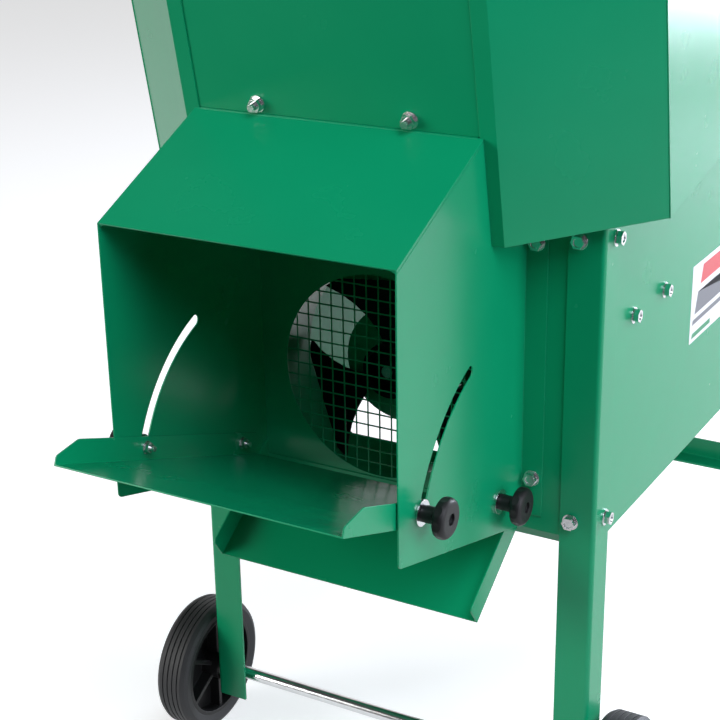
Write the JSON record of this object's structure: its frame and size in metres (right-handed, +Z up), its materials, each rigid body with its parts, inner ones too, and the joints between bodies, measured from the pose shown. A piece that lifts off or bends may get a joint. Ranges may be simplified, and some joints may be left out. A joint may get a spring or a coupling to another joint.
{
  "type": "olive defoliator",
  "caption": "Wheeled sheet-steel stand with a hopper over a fan housing, a hooded air outlet, a tilting deflector tray and a discharge chute for blowing leaves off olives.",
  "frame": {"origin": "on the ground, at the middle of the overall length and width", "axes": "+X to the right along the front, +Y from the front to the back, +Z up"},
  "size_m": [0.6226, 1.2282, 1.0615],
  "materials": {
    "green_paint": "glossy powder coat",
    "zinc": "bright zinc plating",
    "black_plastic": "satin moulded",
    "grip_rubber": "matte",
    "tyre_rubber": "matte",
    "bright_steel": "ground",
    "grey_plastic": "satin moulded",
    "green_button": "glossy",
    "red_button": "glossy"
  },
  "bodies": {
    "machine": {"front_hood": "green_paint", "hood_bolts": "zinc", "discharge_chute": "green_paint", "front_panel": "green_paint", "mesh_guard": "green_paint", "fan_ring": "green_paint", "fan_ring_nuts": "zinc", "motor_bearings": "bright_steel", "stator_housing": "green_paint", "motor_end_shields": "green_paint", "motor_cowl": "green_paint", "terminal_box": "black_plastic", "motor_rails": "green_paint", "motor_bolts": "zinc", "leg_front_right": "green_paint", "leg_front_left": "green_paint", "leg_rear_right": "green_paint", "leg_rear_left": "green_paint", "leg_bolts": "zinc", "rear_brace": "green_paint", "rear_feet": "grip_rubber", "side_panel_right": "green_paint", "side_panel_left": "green_paint", "rear_panel": "green_paint", "fan_floor": "green_paint", "hopper_front_wall": "green_paint", "hopper_corner_right": "green_paint", "hopper_corner_left": "green_paint", "hopper_side_right": "green_paint", "hopper_side_left": "green_paint", "hopper_rear_wall": "green_paint", "hopper_floor": "green_paint", "hopper_rim": "green_paint", "hopper_bolts": "zinc", "gate_guides": "green_paint", "axle": "zinc", "axle_caps": "zinc", "handles": "green_paint", "handle_bolts": "zinc", "handle_grips": "grip_rubber", "switch_box": "grey_plastic", "cable_gland": "black_plastic"},
    "tray": {"deflector_tray": "green_paint", "tray_washers": "zinc", "tray_nuts": "zinc", "tray_studs": "zinc"},
    "front_right_knob": {"knob_front_right": "black_plastic"},
    "front_left_knob": {"knob_front_left": "black_plastic"},
    "rear_right_knob": {"knob_rear_right": "black_plastic"},
    "rear_left_knob": {"knob_rear_left": "black_plastic"},
    "fan": {"impeller": "black_plastic", "rotor": "bright_steel", "cooling_fan": "black_plastic"},
    "right_wheel": {"wheel_right": "black_plastic", "tyre_right": "tyre_rubber"},
    "left_wheel": {"wheel_left": "black_plastic", "tyre_left": "tyre_rubber"},
    "gate": {"feed_gate": "green_paint"},
    "start": {"start_button": "green_button"},
    "stop": {"stop_button": "red_button"}
  },
  "joints": [
    {"name": "tray_tilt", "type": "hinge", "parent": "machine", "child": "tray", "pos_m": [0, -0.29992, 0.446], "axis": [-1, 0, 0], "range_deg": [0, 47]},
    {"name": "front_right_knob_turn", "type": "hinge", "parent": "tray", "child": "front_right_knob", "pos_m": [0.165, -0.47377, 0.50927], "axis": [1, 0, 0], "continuous": true},
    {"name": "rear_right_knob_turn", "type": "hinge", "parent": "tray", "child": "rear_right_knob", "pos_m": [0.165, -0.29992, 0.446], "axis": [1, 0, 0], "continuous": true},
    {"name": "front_left_knob_turn", "type": "hinge", "parent": "tray", "child": "front_left_knob", "pos_m": [-0.165, -0.47377, 0.50927], "axis": [1, 0, 0], "continuous": true},
    {"name": "rear_left_knob_turn", "type": "hinge", "parent": "tray", "child": "rear_left_knob", "pos_m": [-0.165, -0.29992, 0.446], "axis": [1, 0, 0], "continuous": true},
    {"name": "fan_spin", "type": "hinge", "parent": "machine", "child": "fan", "pos_m": [-0.012, -0.21592, 0.532], "axis": [0, 1, 0], "continuous": true},
    {"name": "right_wheel_spin", "type": "hinge", "parent": "machine", "child": "right_wheel", "pos_m": [0.28, -0.22592, 0.084], "axis": [1, 0, 0], "continuous": true},
    {"name": "left_wheel_spin", "type": "hinge", "parent": "machine", "child": "left_wheel", "pos_m": [-0.28, -0.22592, 0.084], "axis": [1, 0, 0], "continuous": true},
    {"name": "gate_slide", "type": "slide", "parent": "machine", "child": "gate", "axis": [0, -0.9816, -0.1908], "range_m": [0, 0.076]},
    {"name": "start_press", "type": "slide", "parent": "machine", "child": "start", "axis": [0, -1, 0], "range_m": [0, 0.003], "stiffness_N_per_m": 400},
    {"name": "stop_press", "type": "slide", "parent": "machine", "child": "stop", "axis": [0, -1, 0], "range_m": [0, 0.003], "stiffness_N_per_m": 400}
  ]
}
